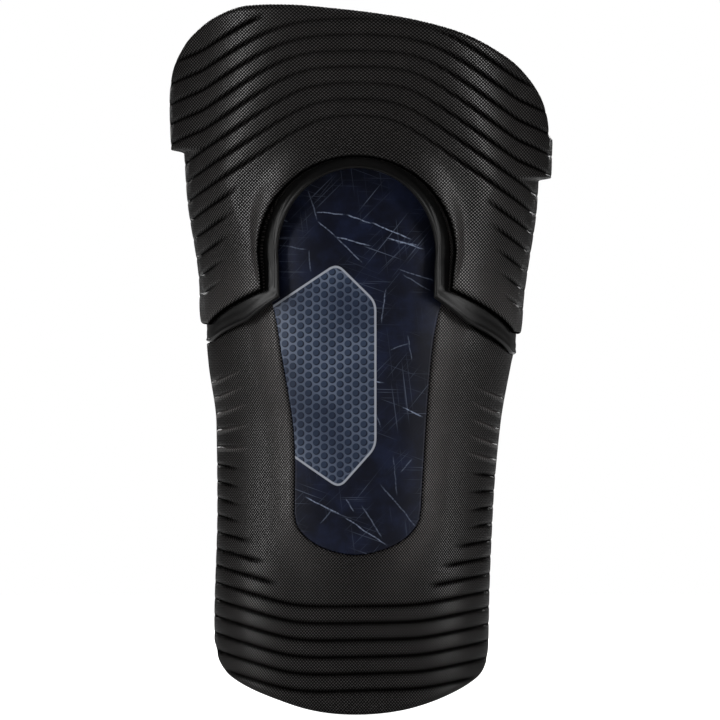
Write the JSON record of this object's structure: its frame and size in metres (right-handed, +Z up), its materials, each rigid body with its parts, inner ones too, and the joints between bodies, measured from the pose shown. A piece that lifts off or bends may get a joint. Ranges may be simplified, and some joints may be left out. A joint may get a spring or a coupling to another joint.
{
  "type": "hockey shin guard",
  "caption": "Hockey shin guard for one leg: a fabric-faced moulded shell with a hard front cap, a hinged knee section with a smooth arched rim, padded liner and elastic calf straps.",
  "frame": {"origin": "middle of the leg channel at the level of the guard's lower end", "axes": "+Z up along the leg towards the knee and thigh, -Y towards the front of the leg, +X to the right seen from the front"},
  "size_m": [0.2213, 0.1674, 0.4122],
  "materials": {
    "moulded_fabric": "fine woven face moulded on foam",
    "navy_cap": "satin printed plastic",
    "rim_plastic": "smooth satin",
    "cup_foam": "closed cell foam",
    "liner_fabric": "brushed knit",
    "hook_tape": "hook tape",
    "loop_tape": "loop tape",
    "webbing": "woven webbing",
    "elastic": "ribbed elastic",
    "pull_rubber": "moulded",
    "rivet_metal": "black coated",
    "washer_plastic": "satin"
  },
  "bodies": {
    "shin_section": {"shin_shell": "moulded_fabric", "shin_cap": "navy_cap", "knee_cup_foam": "cup_foam", "shin_liner_centre": "liner_fabric", "shin_liner_left": "liner_fabric", "shin_liner_right": "liner_fabric", "shin_hook_tabs": "hook_tape", "anchor_rivets": "rivet_metal", "strap_anchor_upper": "webbing", "strap_anchor_lower": "webbing", "loop_patch_upper": "loop_tape", "loop_patch_lower": "loop_tape", "pivot_washer_left": "washer_plastic", "pivot_washer_right": "washer_plastic"},
    "knee_section": {"knee_shell": "moulded_fabric", "knee_plate": "rim_plastic", "knee_liner_centre": "liner_fabric", "knee_liner_left": "liner_fabric", "knee_liner_right": "liner_fabric", "knee_hook_tabs": "hook_tape", "pivot_rivet_left": "rivet_metal", "pivot_rivet_right": "rivet_metal"},
    "strap_upper": {"strap_elastic_upper": "elastic", "strap_hook_upper": "hook_tape", "strap_pull_upper": "pull_rubber"},
    "strap_lower": {"strap_elastic_lower": "elastic", "strap_hook_lower": "hook_tape", "strap_pull_lower": "pull_rubber"}
  },
  "joints": [
    {"name": "knee_flex", "type": "hinge", "parent": "shin_section", "child": "knee_section", "pos_m": [0, 0.012, 0.255], "axis": [1, 0, 0], "range_deg": [-15, 0], "stiffness_Nm_per_rad": 0.4},
    {"name": "strap_upper_swing", "type": "hinge", "parent": "shin_section", "child": "strap_upper", "pos_m": [-0.06997, 0.0365, 0.146], "axis": [0, 0, 1], "range_deg": [0, 110]},
    {"name": "strap_lower_swing", "type": "hinge", "parent": "shin_section", "child": "strap_lower", "pos_m": [-0.07101, 0.0365, 0.066], "axis": [0, 0, 1], "range_deg": [0, 110]}
  ]
}
